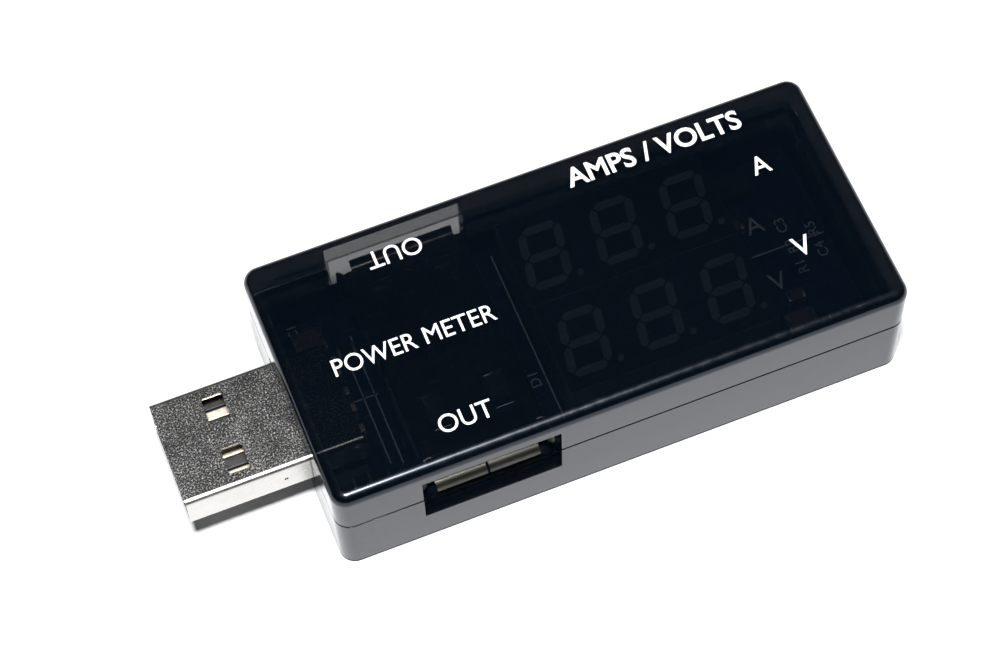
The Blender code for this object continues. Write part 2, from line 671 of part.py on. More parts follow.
def build_receptacles(nickel, plastic, gold):
    """Both ports share their meshes: the back one is the front one turned half round."""
    shell = receptacle_shell_mesh(nickel)
    housing = receptacle_housing_mesh(plastic)
    spring = contact_spring_mesh(gold)
    tail = contact_tail_mesh(gold)
    mouth = CASE_WIDTH / 2 - PORT_SETBACK
    for label, turn in (("front", 0.0), ("back", math.pi)):
        side = -1 if label == "front" else 1
        base = bpy.data.objects.new(f"{label}_receptacle_place", None)
        PARTS.objects.link(base)
        base.location = (PORT_X, side * mouth, PORT_Z)
        base.rotation_euler = (0, 0, turn)
        pieces = [add_part(f"{label}_receptacle_shell", shell, nickel),
                  add_part(f"{label}_receptacle_housing", housing, plastic)]
        for number, x in enumerate(CONTACT_OFFSETS, start=1):
            pieces.append(add_part(f"{label}_contact_spring_{number}", spring, gold,
                                   (x, HINGE_Y, HINGE_Z)))
            pieces.append(add_part(f"{label}_contact_tail_{number}", tail, gold, (x, 0, 0)))
        for piece in pieces:
            piece.parent = base


def build_displays(material):
    """Three-digit display blocks on their own pins, one above the other."""
    width, height, depth = DISPLAY_SIZE
    pin_low = BOARD_BOTTOM - PIN_DEPTH
    pin_high = DISPLAY_TOP - depth / 2
    block = rounded_box_mesh("display_block", (width, height, depth), (0, 0, -depth / 2),
                             DISPLAY_CORNER, plan_steps=2)
    blank = add_object("display_blank", block, TOOLS)
    pins = boxes_mesh("display_pins", (DISPLAY_PIN, DISPLAY_PIN, pin_high - pin_low),
                      [(x, y, (pin_low + pin_high) / 2 - DISPLAY_TOP)
                       for x, y in display_pin_places(0, 0)])
    join(blank, pins)
    mesh = finished_mesh(blank, "display")
    for label, center_y in display_centers():
        add_part(f"{label}_display", mesh, material, (DISPLAY_X, center_y, DISPLAY_TOP))


def chip_mesh(name, size, legs, pitch):
    """A chip body with a row of legs along each long side."""
    length, width, height = size
    middle = (0, 0, height / 2 + CHIP_STANDOFF)
    chip = add_object(name, rounded_box_mesh(name, size, middle, CHIP_CORNER, plan_steps=1), TOOLS)
    reach = width / 2 + CHIP_LEG_REACH
    knee = reach - CHIP_LEG_REACH / 2
    top = knee - CHIP_KNEE_SLOPE
    half = [(reach, CHIP_FOOT_HEIGHT), (knee, CHIP_FOOT_HEIGHT), (top, height / 2)]
    path = [(-y, z) for y, z in half] + half[::-1]
    outline = strip_outline(path, CHIP_LEG_SHEET)
    for index in range(legs):
        x = (index - (legs - 1) / 2) * pitch
        leg = extruded_mesh(f"{name}_leg_{index}", outline, pitch * CHIP_LEG_SHARE, SIDEWAYS)
        join(chip, leg, (x, 0, 0))
    return finished_mesh(chip, name)


def in_metres(lengths):
    return tuple(length * MM for length in lengths)


def build_chips(materials):
    for name, size, legs, pitch, place in CHIPS:
        mesh = chip_mesh(name, in_metres(size), legs, pitch * MM)
        add_part(name, mesh, materials["chip_black"], (*in_metres(place), BOARD_TOP + GAP))


def build_small_parts(materials):
    """Surface-mount parts, each at its place on the board's top."""
    for name, size, place, material in SMALL_PARTS:
        size = in_metres(size)
        mesh = rounded_box_mesh(name, size, (0, 0, size[2] / 2), SMALL_PART_CORNER, plan_steps=1)
        add_part(name, mesh, materials[material], (*in_metres(place), BOARD_TOP + GAP))


def build_materials():
    """Every material under its name: base colour, roughness and how metallic it is."""
    looks = (
        ("smoked_case", (0.02, 0.03, 0.04), 0.08, 0.0),
        ("nickel_shell", (0.62, 0.6, 0.57), 0.3, 1.0),
        ("black_insulator", (0.03, 0.03, 0.035), 0.45, 0.0),
        ("gold_contact", (0.85, 0.66, 0.3), 0.25, 1.0),
        ("board_blue", (0.01, 0.05, 0.09), 0.35, 0.0),
        ("display_block", (0.35, 0.37, 0.4), 0.5, 0.0),
        ("chip_black", (0.02, 0.02, 0.022), 0.5, 0.0),
        ("capacitor_ceramic", (0.42, 0.3, 0.2), 0.5, 0.0),
        ("resistor_black", (0.05, 0.05, 0.055), 0.35, 0.0),
    )
    return {name: make_material(name, colour, roughness, metallic)
            for name, colour, roughness, metallic in looks}


def main():
    materials = build_materials()
    metals = (materials["nickel_shell"], materials["black_insulator"], materials["gold_contact"])
    build_lower_case(materials["smoked_case"])
    build_upper_case(materials["smoked_case"])
    build_board(materials["board_blue"])
    build_plug(*metals)
    build_receptacles(*metals)
    build_displays(materials["display_block"])
    build_chips(materials)
    build_small_parts(materials)


clear_scene()
PARTS = new_collection("usb_power_meter")
TOOLS = new_collection("cutters")
main()
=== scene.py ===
"""Looks for the USB power meter: finer shapes over the CAD frame, materials, light and camera.

The long axis is X, with the USB plug at -X. The front port looks along -Y, the back port
along +Y, and the two displays face +Z. Lengths are in metres, except in the tables that say mm.
"""
import math

import bmesh
import bpy
from mathutils import Matrix, Vector


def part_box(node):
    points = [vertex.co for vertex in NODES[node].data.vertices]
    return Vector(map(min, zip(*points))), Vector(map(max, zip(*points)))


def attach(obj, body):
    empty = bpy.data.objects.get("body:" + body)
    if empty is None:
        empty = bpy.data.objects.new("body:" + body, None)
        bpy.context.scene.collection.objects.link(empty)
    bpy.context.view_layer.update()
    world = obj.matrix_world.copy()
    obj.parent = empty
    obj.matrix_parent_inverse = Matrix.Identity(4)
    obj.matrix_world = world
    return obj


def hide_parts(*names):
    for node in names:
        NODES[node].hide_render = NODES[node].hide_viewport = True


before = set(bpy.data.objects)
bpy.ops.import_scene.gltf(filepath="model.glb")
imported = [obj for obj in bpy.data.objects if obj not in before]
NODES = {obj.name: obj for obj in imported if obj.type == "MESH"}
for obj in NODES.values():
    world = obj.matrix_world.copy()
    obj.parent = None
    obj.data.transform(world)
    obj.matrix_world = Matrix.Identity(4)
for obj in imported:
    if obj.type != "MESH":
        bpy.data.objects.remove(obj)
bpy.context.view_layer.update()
BODY = "meter"

MM = 0.001

# Case, with the values that the CAD part is built from
UPPER_LOW, UPPER_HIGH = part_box("upper_case")
CASE_START, CASE_END = UPPER_LOW.x, UPPER_HIGH.x
CASE_MIDDLE = (CASE_START + CASE_END) / 2
CASE_LENGTH = CASE_END - CASE_START
CASE_WIDTH = UPPER_HIGH.y - UPPER_LOW.y
CASE_HEIGHT = UPPER_HIGH.z
SEAM_HEIGHT = 8.5 * MM
SEAM_GAP = 0.2 * MM
LOWER_TOP = SEAM_HEIGHT - SEAM_GAP / 2
WALL = 1.5 * MM
GAP = 0.3 * MM
THROUGH = 1.0 * MM
PLAN_RADIUS = 1.7 * MM
ROOF_RADIUS = 1.2 * MM
FLOOR_RADIUS = 0.45 * MM
LIP_THICKNESS = 0.55 * MM
LIP_RISE = 0.9 * MM
REBATE_DEPTH = 0.8 * MM
REBATE_RISE = 1.3 * MM
CLIP_PLACES = (-18.1 * MM, 30.6 * MM)
CLIP_WIDTH = 4.2 * MM
CLIP_THICKNESS = 0.9 * MM
CLIP_TOP = 12.2 * MM
CLIP_HOOK = 0.55 * MM
POST_X = (-21.0 * MM, 33.0 * MM)
POST_Y = 9.6 * MM
POST_RADIUS = 1.5 * MM
PEG_RADIUS = 0.6 * MM

# Ports
OPENING_SIZE = (14.6 * MM, 7.25 * MM)
OPENING_X = -7.95 * MM
PORT_X = -7.7 * MM
PORT_Z = 8.5 * MM
PORT_SETBACK = 2.9 * MM
CONTACT_OFFSETS = (-3.5 * MM, -1.0 * MM, 1.0 * MM, 3.5 * MM)
TAIL_Y = 10.1 * MM

# Plug
PLUG_LOW, PLUG_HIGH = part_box("plug_shell")
PLUG_WIDTH = PLUG_HIGH.y - PLUG_LOW.y
PLUG_HEIGHT = 4.5 * MM
PLUG_START, PLUG_END = PLUG_LOW.x, PLUG_HIGH.x
PLUG_MIDDLE = PLUG_HIGH.z - PLUG_HEIGHT / 2
PLUG_LENGTH = PLUG_END - PLUG_START
SHEET = 0.3 * MM
PLUG_ROUNDING = 0.6 * MM
PLUG_INNER_ROUNDING = 0.3 * MM
PLUG_WINDOW = (2.2 * MM, 2.9 * MM)
PLUG_WINDOW_SETBACK = 6.15 * MM
PLUG_WINDOW_OFFSET = 3.0 * MM
PLUG_WINDOW_ROUNDING = 0.25 * MM
PLUG_SLIT = 0.1 * MM
LEG_WIDTH = 1.4 * MM
LEG_THICKNESS = 0.8 * SHEET
DIMPLE_X = -26.9 * MM
DIMPLE_RADIUS = 0.22 * MM

# Board, its parts and its solder
BOARD_LOW, BOARD_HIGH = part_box("circuit_board")
BOARD_TOP = BOARD_HIGH.z
CHIPS = ("microcontroller", "display_driver", "sense_amplifier")
PIN_MARK_INSET = 0.8 * MM
PIN_MARK_RADIUS = 0.3 * MM
PIN_MARK_DEPTH = 0.1 * MM
CAP_SHARE = 0.2
CAP_FILM = 0.03 * MM
SOLDER_RADIUS = 0.55 * MM
SOLDER_RISE = 0.45 * MM

# Displays
DISPLAY_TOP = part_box("current_display")[1].z
DISPLAY_PINS = 6
PIN_PITCH = 2.54 * MM
PIN_ROWS = 7.62 * MM
MASK_INSET = 0.04 * MM
MASK_LIFT = 0.01 * MM
MASK_THICKNESS = 0.06 * MM
MASK_ROUNDING = 0.3 * MM
DIGIT_X = (5.3 * MM, 13.1 * MM, 20.8 * MM)
DIGIT_Y = (("current", 4.83 * MM), ("voltage", -5.70 * MM))
DIGIT_HEIGHT = 7.25 * MM
DIGIT_WIDTH = 4.75 * MM
DIGIT_LIFT = 0.03 * MM
DIGIT_RISE = 0.04 * MM
STROKE = 0.9 * MM
SLANT = math.tan(math.radians(10.0))
SEGMENT_GAP = 0.12 * MM
DOT_OFFSET = 1.35 * STROKE
DOT_RADIUS = 0.42 * STROKE
DOT_SIDES = 16

# How far each kind of sharp edge is rounded
CASE_EDGE = 0.08 * MM
PLUG_EDGE = 0.1 * MM
SHEET_EDGE = 0.05 * MM
PLASTIC_EDGE = 0.08 * MM
FINE_EDGE = 0.04 * MM
BLOCK_EDGE = 0.12 * MM
SOLDER_EDGE = 0.06 * MM

# Board printing, in mm: lines from end to end, then words with their cap height, middle and
# half turns
SILK_LINES = (
    ((1.7, 11.3), (1.7, -9.3)),
    ((26.8, 0.7), (35.0, 0.7)),
    ((-17.4, 0.7), (-14.9, 0.7)),
    ((-16.4, 4.9), (-16.4, -7.2)),
    ((-15.2, 8.0), (-15.2, -7.8)),
    ((-17.0, 4.9), (-16.4, 4.9)),
)
BOARD_MARKS = (
    ("board_letter_a", "A", 2.0, (28.6, 4.2), 0),
    ("board_letter_v", "V", 2.0, (28.2, -2.9), 0),
    ("board_mark_1", "R1  R2  C3", 1.1, (31.2, 0.5), 0.5),
    ("board_mark_2", "C4  R5", 1.1, (34.0, 0.2), 0.5),
    ("board_mark_3", "D1", 1.1, (0.5, -4.0), 0.5),
    ("board_mark_4", "C1", 1.0, (-20.6, 10.6), 0.5),
    ("board_mark_5", "R7", 1.0, (-17.9, 6.0), 0.5),
)
SILK_WIDTH = 0.16 * MM
SILK_LOW = BOARD_TOP + 0.005 * MM
SILK_HIGH = BOARD_TOP + 0.03 * MM

# Roof printing, in mm: words with their cap height, middle, half turns and width, and how much
# the strokes are thickened as a share of the face's own size
ROOF_PRINTS = (
    ("print_out_front", "OUT", 2.0, (-9.0, -9.9), 0, 5.6, 0.0),
    ("print_out_back", "OUT", 2.0, (-8.95, 9.95), 1, 5.8, 0.0),
    ("print_title", "POWER METER", 1.95, (-10.65, -0.1), 0, 17.1, 0.0),
    ("print_heading", "AMPS / VOLTS", 2.3, (19.9, 11.3), 0, 19.2, 0.018),
    ("print_amps", "A", 2.1, (29.2, 5.35), 0, 1.95, 0.005),
    ("print_volts", "V", 2.2, (29.2, -4.95), 0, 1.9, 0.005),
)
INK_THICKNESS = 0.02 * MM


# Node building

def start_material(name):
    """A new material, with its node tree, its shader and the object's own coordinates."""
    material = bpy.data.materials.new(name)
    material.use_nodes = True
    tree = material.node_tree
    coords = add_node(tree, "ShaderNodeTexCoord").outputs["Object"]
    return material, tree, tree.nodes["Principled BSDF"], coords


def add_node(tree, kind, **values):
    """A shader node of one kind, with its settings."""
    node = tree.nodes.new(kind)
    for name, value in values.items():
        setattr(node, name, value)
    return node


def set_inputs(node, **values):
    """Sets a node's inputs, which are named with _ for a space."""
    for name, value in values.items():
        node.inputs[name.replace("_", " ")].default_value = value


def link_inputs(tree, node, **sockets):
    """Links other nodes' outputs to a node's inputs, which are named with _ for a space."""
    for name, socket in sockets.items():
        tree.links.new(socket, node.inputs[name.replace("_", " ")])


def noise(tree, coords, scale, detail=3.0, roughness=0.55, stretch=None):
    """Fractal noise over object coordinates, optionally stretched along an axis."""
    source = coords
    if stretch:
        mapping = add_node(tree, "ShaderNodeMapping")
        set_inputs(mapping, Scale=stretch)
        link_inputs(tree, mapping, Vector=coords)
        source = mapping.outputs["Vector"]
    node = add_node(tree, "ShaderNodeTexNoise")
    set_inputs(node, Scale=scale, Detail=detail, Roughness=roughness)
    link_inputs(tree, node, Vector=source)
    return node.outputs["Fac"]


def ramp(tree, value, first, second, start=0.3, end=0.7):
    """A colour that runs from the first to the second as the value runs from start to end."""
    node = add_node(tree, "ShaderNodeValToRGB")
    for element, place, colour in zip(node.color_ramp.elements, (start, end), (first, second)):
        element.position = place
        element.color = (*colour, 1)
    link_inputs(tree, node, Fac=value)
    return node.outputs["Color"]


def remap(tree, value, low, high, start=0.3, end=0.7):
    """A number that runs from low to high as the value runs from start to end."""
    node = add_node(tree, "ShaderNodeMapRange")
    set_inputs(node, From_Min=start, From_Max=end, To_Min=low, To_Max=high)
    link_inputs(tree, node, Value=value)
    return node.outputs["Result"]


def blend(tree, factor, first, second):
    """A mix of two colours, each one given as a value or as another node's output."""
    node = add_node(tree, "ShaderNodeMix", data_type="RGBA")
    link_inputs(tree, node, Factor=factor)
    for socket, colour in ((node.inputs["A"], first), (node.inputs["B"], second)):
        if isinstance(colour, tuple):
            socket.default_value = (*colour, 1)
        else:
            tree.links.new(colour, socket)
    return node.outputs["Result"]


def add_share(tree, base, value, share):
    """The base number plus a share of the value."""
    node = add_node(tree, "ShaderNodeMath", operation="MULTIPLY_ADD")
    tree.links.new(value, node.inputs[0])
    node.inputs[1].default_value = share
    tree.links.new(base, node.inputs[2])
    return node.outputs["Value"]


def bump(tree, shader, *layers):
    """Bumps in a chain: each layer is (height socket, strength, distance)."""
    normal = None
    for height, strength, distance in layers:
        node = add_node(tree, "ShaderNodeBump")
        set_inputs(node, Strength=strength, Distance=distance)
        link_inputs(tree, node, Height=height)
        if normal is not None:
            link_inputs(tree, node, Normal=normal)
        normal = node.outputs["Normal"]
    link_inputs(tree, shader, Normal=normal)


HAIRLINE_STRETCHES = ((1.0, 14.0, 3.0), (12.0, 1.5, 3.0))


def scratches(tree, coords, scale):
    """Fine hairlines in two directions: 1 on a hairline and 0 elsewhere."""
    node = add_node(tree, "ShaderNodeMath", operation="MAXIMUM", use_clamp=True)
    for index, stretch in enumerate(HAIRLINE_STRETCHES):
        fibres = noise(tree, coords, scale, detail=2.0, roughness=0.5, stretch=stretch)
        lines = remap(tree, fibres, low=0.0, high=1.0, start=0.685, end=0.74)
        tree.links.new(lines, node.inputs[index])
    return node.outputs["Value"]


# Materials

# How much of the light each skin of the smoked case stops
ROOF_ALPHA = 0.85
RIM_ALPHA = 0.9
WALL_ALPHA = 0.97
INSIDE_ALPHA = 0.25
PORT_ALPHA = 0.55
SMOKE_DARK = (0.0001, 0.0012, 0.0030)
SMOKE_LIGHT = (0.0003, 0.0017, 0.0039)
COOL_REFLECTION = (0.80, 0.86, 1.0, 1)
HAIRLINE_ROUGHNESS = 0.12


def smoked_material(name, alpha, roughness=(0.10, 0.16), specular=0.5):
    """Smoked plastic, thin where alpha is low; its reflections have a cool tint."""
    material, tree, shader, coords = start_material(name)
    flow = noise(tree, coords, scale=60.0)
    haze = remap(tree, noise(tree, coords, scale=900.0, detail=4.0), *roughness)
    waves = noise(tree, coords, scale=260.0, detail=2.0)
    hairlines = scratches(tree, coords, scale=420.0)
    link_inputs(tree, shader, Base_Color=ramp(tree, flow, SMOKE_DARK, SMOKE_LIGHT),
                Roughness=add_share(tree, haze, hairlines, HAIRLINE_ROUGHNESS))
    bump(tree, shader, (waves, 0.05, 0.1 * MM), (hairlines, 0.04, 0.02 * MM))
    set_inputs(shader, IOR=1.46, Alpha=alpha, Specular_IOR_Level=specular,
               Specular_Tint=COOL_REFLECTION)
    return material


def metal_material(name, dark, light, grain, roughness, pits, strength):
    """Plated sheet: a stamped grain in its height, with cloudy colour and fine hairlines."""
    material, tree, shader, coords = start_material(name)
    speckle = noise(tree, coords, scale=grain, roughness=0.65)
    cloud = noise(tree, coords, scale=grain / 8)
    hairlines = scratches(tree, coords, scale=grain / 2)
    link_inputs(tree, shader, Base_Color=ramp(tree, cloud, dark, light),
                Roughness=remap(tree, speckle, *roughness))
    bump(tree, shader, (speckle, strength, pits), (hairlines, 0.1, 0.01 * MM))
    set_inputs(shader, Metallic=1.0)
    return material


# Painted light on the grained nickel: the pale speck colour is a painted glint, and the dark
# plate colour is painted shade
PLATE_AND_PAINTED_SHADE = (0.28, 0.275, 0.28)
SPECK_PAINTED_GLINT = (0.92, 0.91, 0.88)
PATCH_SHARE = 0.12


def grain_and_glint_material():
    """Grained nickel sheet: rough specks scattered over a smoother plate, denser in patches. The
    specks are coloured pale as painted glints, and the plate between them is coloured dark as
    painted shade.
    """
    material, tree, shader, coords = start_material("nickel_grain_painted_glints")
    grain = noise(tree, coords, scale=5600.0, detail=4.0, roughness=0.7)
    patches = noise(tree, coords, scale=420.0, detail=2.0)
    specks_and_glints = remap(tree, add_share(tree, grain, patches, PATCH_SHARE), low=0.0, high=1.0,
                   start=0.52, end=0.76)
    link_inputs(tree, shader, Base_Color=blend(tree, specks_and_glints, PLATE_AND_PAINTED_SHADE, SPECK_PAINTED_GLINT),
                Roughness=remap(tree, specks_and_glints, low=0.20, high=0.44, start=0.0, end=1.0))
    bump(tree, shader, (grain, 0.35, 0.012 * MM))
    set_inputs(shader, Metallic=1.0)
    return material


def moulded_material(name, dark, light, roughness, grain=1500.0, strength=0.12, coat=0.0):
    """Moulded or fired material: mottled colour, uneven gloss and a fine pebbled surface."""
    material, tree, shader, coords = start_material(name)
    mottle = noise(tree, coords, scale=grain / 4, detail=4.0)
    pebble = noise(tree, coords, scale=grain)
    link_inputs(tree, shader, Base_Color=ramp(tree, mottle, dark, light),
                Roughness=remap(tree, pebble, *roughness))
    bump(tree, shader, (pebble, strength, 0.03 * MM))
    set_inputs(shader, Coat_Weight=coat)
    return material


FIBRE_DARK = (0.003, 0.017, 0.040)
FIBRE_LIGHT = (0.005, 0.024, 0.052)
COPPER_UNDER_MASK = (0.006, 0.034, 0.070)


def board_material():
    """Blue solder mask over fibreglass, with the copper under it showing as paler islands."""
    material, tree, shader, coords = start_material("board_blue_mask")
    islands = add_node(tree, "ShaderNodeTexVoronoi", distance="MANHATTAN")
    set_inputs(islands, Scale=240.0, Randomness=0.8)
    link_inputs(tree, islands, Vector=coords)
    copper = remap(tree, islands.outputs["Distance"], low=0.0, high=1.0, start=0.36, end=0.40)
    weave = add_node(tree, "ShaderNodeTexWave", bands_direction="DIAGONAL")
    set_inputs(weave, Scale=900.0, Distortion=1.5)
    link_inputs(tree, weave, Vector=coords)
    fibre = ramp(tree, weave.outputs["Fac"], FIBRE_DARK, FIBRE_LIGHT, start=0.2, end=0.9)
    pebble = noise(tree, coords, scale=1300.0)
    link_inputs(tree, shader, Base_Color=blend(tree, copper, fibre, COPPER_UNDER_MASK),
                Roughness=remap(tree, pebble, low=0.22, high=0.42))
    bump(tree, shader, (copper, 0.35, 0.03 * MM), (pebble, 0.1, 0.02 * MM))
    set_inputs(shader, Coat_Weight=0.25, Coat_Roughness=0.15)
    return material


def ink_material(name, colour, worn):
    """Screen-printed ink, a little thin in places."""
    material, tree, shader, coords = start_material(name)
    cover = noise(tree, coords, scale=2600.0, detail=4.0)
    link_inputs(tree, shader, Base_Color=ramp(tree, cover, worn, colour, start=0.25, end=0.5),
                Roughness=remap(tree, cover, low=0.35, high=0.6))
    bump(tree, shader, (cover, 0.25, 0.01 * MM))
    return material


PAPER_DARK = (0.785, 0.79, 0.80)
PAPER_LIGHT = (0.805, 0.81, 0.82)


def floor_material():
    """Matt white studio paper with faint fibres."""
    material, tree, shader, coords = start_material("studio_paper")
    fibres = noise(tree, coords, scale=700.0, detail=4.0)
    link_inputs(tree, shader, Base_Color=ramp(tree, fibres, PAPER_DARK, PAPER_LIGHT))
    bump(tree, shader, (fibres, 0.05, 0.02 * MM))
    set_inputs(shader, Roughness=0.9, Specular_IOR_Level=0.1)
    return material


SMOKE_ROOF = smoked_material("smoked_polycarbonate_flat", ROOF_ALPHA)
SMOKE_RIM = smoked_material("smoked_polycarbonate_rim", RIM_ALPHA, roughness=(0.18, 0.26))
SMOKE_FOOT = smoked_material("smoked_polycarbonate_foot", WALL_ALPHA, roughness=(0.45, 0.6),
                             specular=0.12)
SMOKE_WALL = smoked_material("smoked_polycarbonate_edge", WALL_ALPHA)
SMOKE_INSIDE = smoked_material("smoked_polycarbonate_inside", INSIDE_ALPHA)
SMOKE_PORT = smoked_material("smoked_polycarbonate_port", PORT_ALPHA)
CASE_LOOKS = (SMOKE_ROOF, SMOKE_WALL, SMOKE_INSIDE, SMOKE_PORT, SMOKE_RIM, SMOKE_FOOT)
NICKEL_GRAIN_AND_GLINTS = grain_and_glint_material()
POLISHED = metal_material("nickel_polished", (0.48, 0.47, 0.45), (0.54, 0.53, 0.51), grain=1400.0,
                          roughness=(0.26, 0.34), pits=0.003 * MM, strength=0.08)
BRIGHT = metal_material("nickel_inner", (0.50, 0.48, 0.43), (0.60, 0.575, 0.52), grain=1800.0,
                        roughness=(0.14, 0.22), pits=0.004 * MM, strength=0.1)
# The sleeve's flared lips: the same nickel as nickel_inner, coloured far darker as painted shade
# inside the port
NICKEL_LIP_PAINTED_SHADE = metal_material("nickel_lip_painted_shade", (0.15, 0.148, 0.13), (0.22, 0.214, 0.19), grain=1800.0,
                       roughness=(0.34, 0.44), pits=0.004 * MM, strength=0.1)
GOLD = metal_material("gold_plate", (0.86, 0.76, 0.60), (0.94, 0.85, 0.70), grain=2200.0,
                      roughness=(0.36, 0.48), pits=0.008 * MM, strength=0.2)
SOLDER = metal_material("solder", (0.55, 0.56, 0.58), (0.72, 0.73, 0.75), grain=900.0,
                        roughness=(0.18, 0.45), pits=0.02 * MM, strength=0.3)
PLASTIC = moulded_material("black_nylon", (0.010, 0.010, 0.011), (0.022, 0.022, 0.024),
                           roughness=(0.35, 0.55))
EPOXY = moulded_material("chip_epoxy", (0.014, 0.014, 0.015), (0.028, 0.028, 0.030),
                         roughness=(0.40, 0.60), grain=2600.0, strength=0.3)
CERAMIC = moulded_material("capacitor_body", (0.10, 0.075, 0.055), (0.15, 0.115, 0.085),
                           roughness=(0.35, 0.50), grain=2200.0, strength=0.15)
RESISTOR = moulded_material("resistor_glaze", (0.012, 0.013, 0.016), (0.03, 0.032, 0.036),
                            roughness=(0.15, 0.30), grain=1800.0, strength=0.08, coat=0.4)
DISPLAY_SIDE = moulded_material("display_body", (0.12, 0.15, 0.17), (0.17, 0.20, 0.22),
                                roughness=(0.40, 0.55), grain=1700.0, strength=0.15)
DISPLAY_FACE = moulded_material("display_mask", (0.010, 0.018, 0.026), (0.018, 0.028, 0.038),
                                roughness=(0.30, 0.45), grain=2400.0, strength=0.1)
SEGMENT = moulded_material("segment_epoxy", (0.11, 0.18, 0.20), (0.16, 0.24, 0.26),
                           roughness=(0.30, 0.45), grain=3000.0, strength=0.2)
BOARD = board_material()
PRINT = ink_material("white_print", (0.84, 0.85, 0.87), (0.70, 0.72, 0.75))
SILK = ink_material("silkscreen", (0.62, 0.70, 0.76), (0.38, 0.46, 0.52))
PAPER = floor_material()


# Mesh building

ALIGNED = 0.999
SAME_HEIGHT = 1e-7
WELD_DISTANCE = 1e-6
COPLANAR_ANGLE = math.radians(0.5)
SOFTEN_ANGLE = math.radians(35.0)
SMOOTH_ANGLE = math.radians(60)


def mesh_from(bm, name):
    mesh = bpy.data.meshes.new(name)
    bm.to_mesh(mesh)
    bm.free()
    return mesh


def add_box(bm, size, center):
    placing = Matrix.Translation(center) @ Matrix.Diagonal((*size, 1.0))
    bmesh.ops.create_cube(bm, size=1.0, matrix=placing)


def boxes_mesh(name, size, centers):
    bm = bmesh.new()
    for center in centers:
        add_box(bm, size, center)
    return mesh_from(bm, name)


def rods_mesh(name, radius, low, high, places, sides=24):
    """Upright round rods from low to high, at places in (x, y)."""
    bm = bmesh.new()
    for x, y in places:
        placing = Matrix.Translation((x, y, (low + high) / 2))
        bmesh.ops.create_cone(bm, cap_ends=True, segments=sides, radius1=radius,
                              radius2=radius, depth=high - low, matrix=placing)
    return mesh_from(bm, name)


def edges_along(bm, axis):
    found = []
    for edge in bm.edges:
        span = edge.verts[1].co - edge.verts[0].co
        if abs(span[axis]) > ALIGNED * span.length:
            found.append(edge)
    return found


def edges_at_height(bm, height):
    return [edge for edge in bm.edges
            if all(abs(vert.co.z - height) < SAME_HEIGHT for vert in edge.verts)]


def bevel(bm, edges, radius, steps):
    bmesh.ops.bevel(bm, geom=edges, offset=radius, offset_type="OFFSET", segments=steps,
                    profile=0.5, affect="EDGES", clamp_overlap=False)


def rounded_box_mesh(name, size, center, plan_radius, top_radius=0.0, bottom_radius=0.0,
                     plan_steps=12, rim_steps=10):
    """A box with rounded upright edges, and rounded rims where a radius is given."""
    bm = bmesh.new()
    add_box(bm, size, center)
    bevel(bm, edges_along(bm, 2), plan_radius, plan_steps)
    if top_radius:
        bevel(bm, edges_at_height(bm, center[2] + size[2] / 2), top_radius, rim_steps)
    if bottom_radius:
        bevel(bm, edges_at_height(bm, center[2] - size[2] / 2), bottom_radius, rim_steps)
    return mesh_from(bm, name)


def rounded_bar_mesh(name, size, center, radius, steps):
    """A box with its edges along X rounded."""
    bm = bmesh.new()
    add_box(bm, size, center)
    bevel(bm, edges_along(bm, 0), radius, steps)
    return mesh_from(bm, name)


def extrude_outline(bm, points, offset):
    """A flat outline of points, carried along the offset into a solid."""
    face = bm.faces.new([bm.verts.new(point) for point in points])
    moved = bmesh.ops.extrude_face_region(bm, geom=[face])["geom"]
    corners = [item for item in moved if isinstance(item, bmesh.types.BMVert)]
    bmesh.ops.translate(bm, verts=corners, vec=offset)


def polygon_mesh(name, outlines, low, high):
    """Flat outlines in (x, y), each raised from low to high."""
    bm = bmesh.new()
    for outline in outlines:
        extrude_outline(bm, [(x, y, low) for x, y in outline], (0, 0, high - low))
    bmesh.ops.recalc_face_normals(bm, faces=bm.faces)
    return mesh_from(bm, name)


def add_object(data):
    """An object for a mesh or curve, with the same name."""
    item = bpy.data.objects.new(data.name, data)
    bpy.context.scene.collection.objects.link(item)
    return item


def evaluated_mesh(item):
    """The object's mesh, with its modifiers or its text worked out."""
    bpy.context.view_layer.update()
    graph = bpy.context.evaluated_depsgraph_get()
    return bpy.data.meshes.new_from_object(item.evaluated_get(graph))


def apply_modifiers(item):
    mesh = evaluated_mesh(item)
    item.modifiers.clear()
    item.data = mesh


def combine(target, mesh, operation):
    """Cuts a mesh out of the object, or joins it on, straight away."""
    tool = add_object(mesh)
    modifier = target.modifiers.new(operation.title(), "BOOLEAN")
    modifier.operation = operation
    modifier.solver = "EXACT"
    modifier.object = tool
    apply_modifiers(target)
    bpy.data.objects.remove(tool, do_unlink=True)


def soften(item, radius, steps=2):
    """Rounds the sharp edges a little, and shades the rest by how flat it is."""
    rounding = item.modifiers.new("Edges", "BEVEL")
    rounding.width = radius
    rounding.segments = steps
    rounding.limit_method = "ANGLE"
    rounding.angle_limit = SOFTEN_ANGLE
    apply_modifiers(item)
    item.data.shade_smooth()
    item.data.set_sharp_from_angle(angle=SMOOTH_ANGLE)
    weighting = item.modifiers.new("Shading", "WEIGHTED_NORMAL")
    weighting.keep_sharp = True
    apply_modifiers(item)


def finish_piece(item, material, body=BODY, nodes=()):
    """Gives a piece its material and its body, and hides the CAD nodes it stands for."""
    item.data.materials.clear()
    item.data.materials.append(material)
    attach(item, body)
    if nodes:
        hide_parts(*nodes)


def add_look(item, material, test):
    """A second material, for the faces that pass the test."""
    item.data.materials.append(material)
    for face in item.data.polygons:
        face.material_index = int(test(face))


# Case

SKIN = 0.05 * MM
UPRIGHT_BELOW = 0.8


def outline_depth(x, y):
    """How far inside the case's rounded plan outline a point is."""
    over_x = abs(x - CASE_MIDDLE) - (CASE_LENGTH / 2 - PLAN_RADIUS)
    over_y = abs(y) - (CASE_WIDTH / 2 - PLAN_RADIUS)
    outside = math.hypot(max(over_x, 0), max(over_y, 0))
    return PLAN_RADIUS - outside - min(max(over_x, over_y), 0)


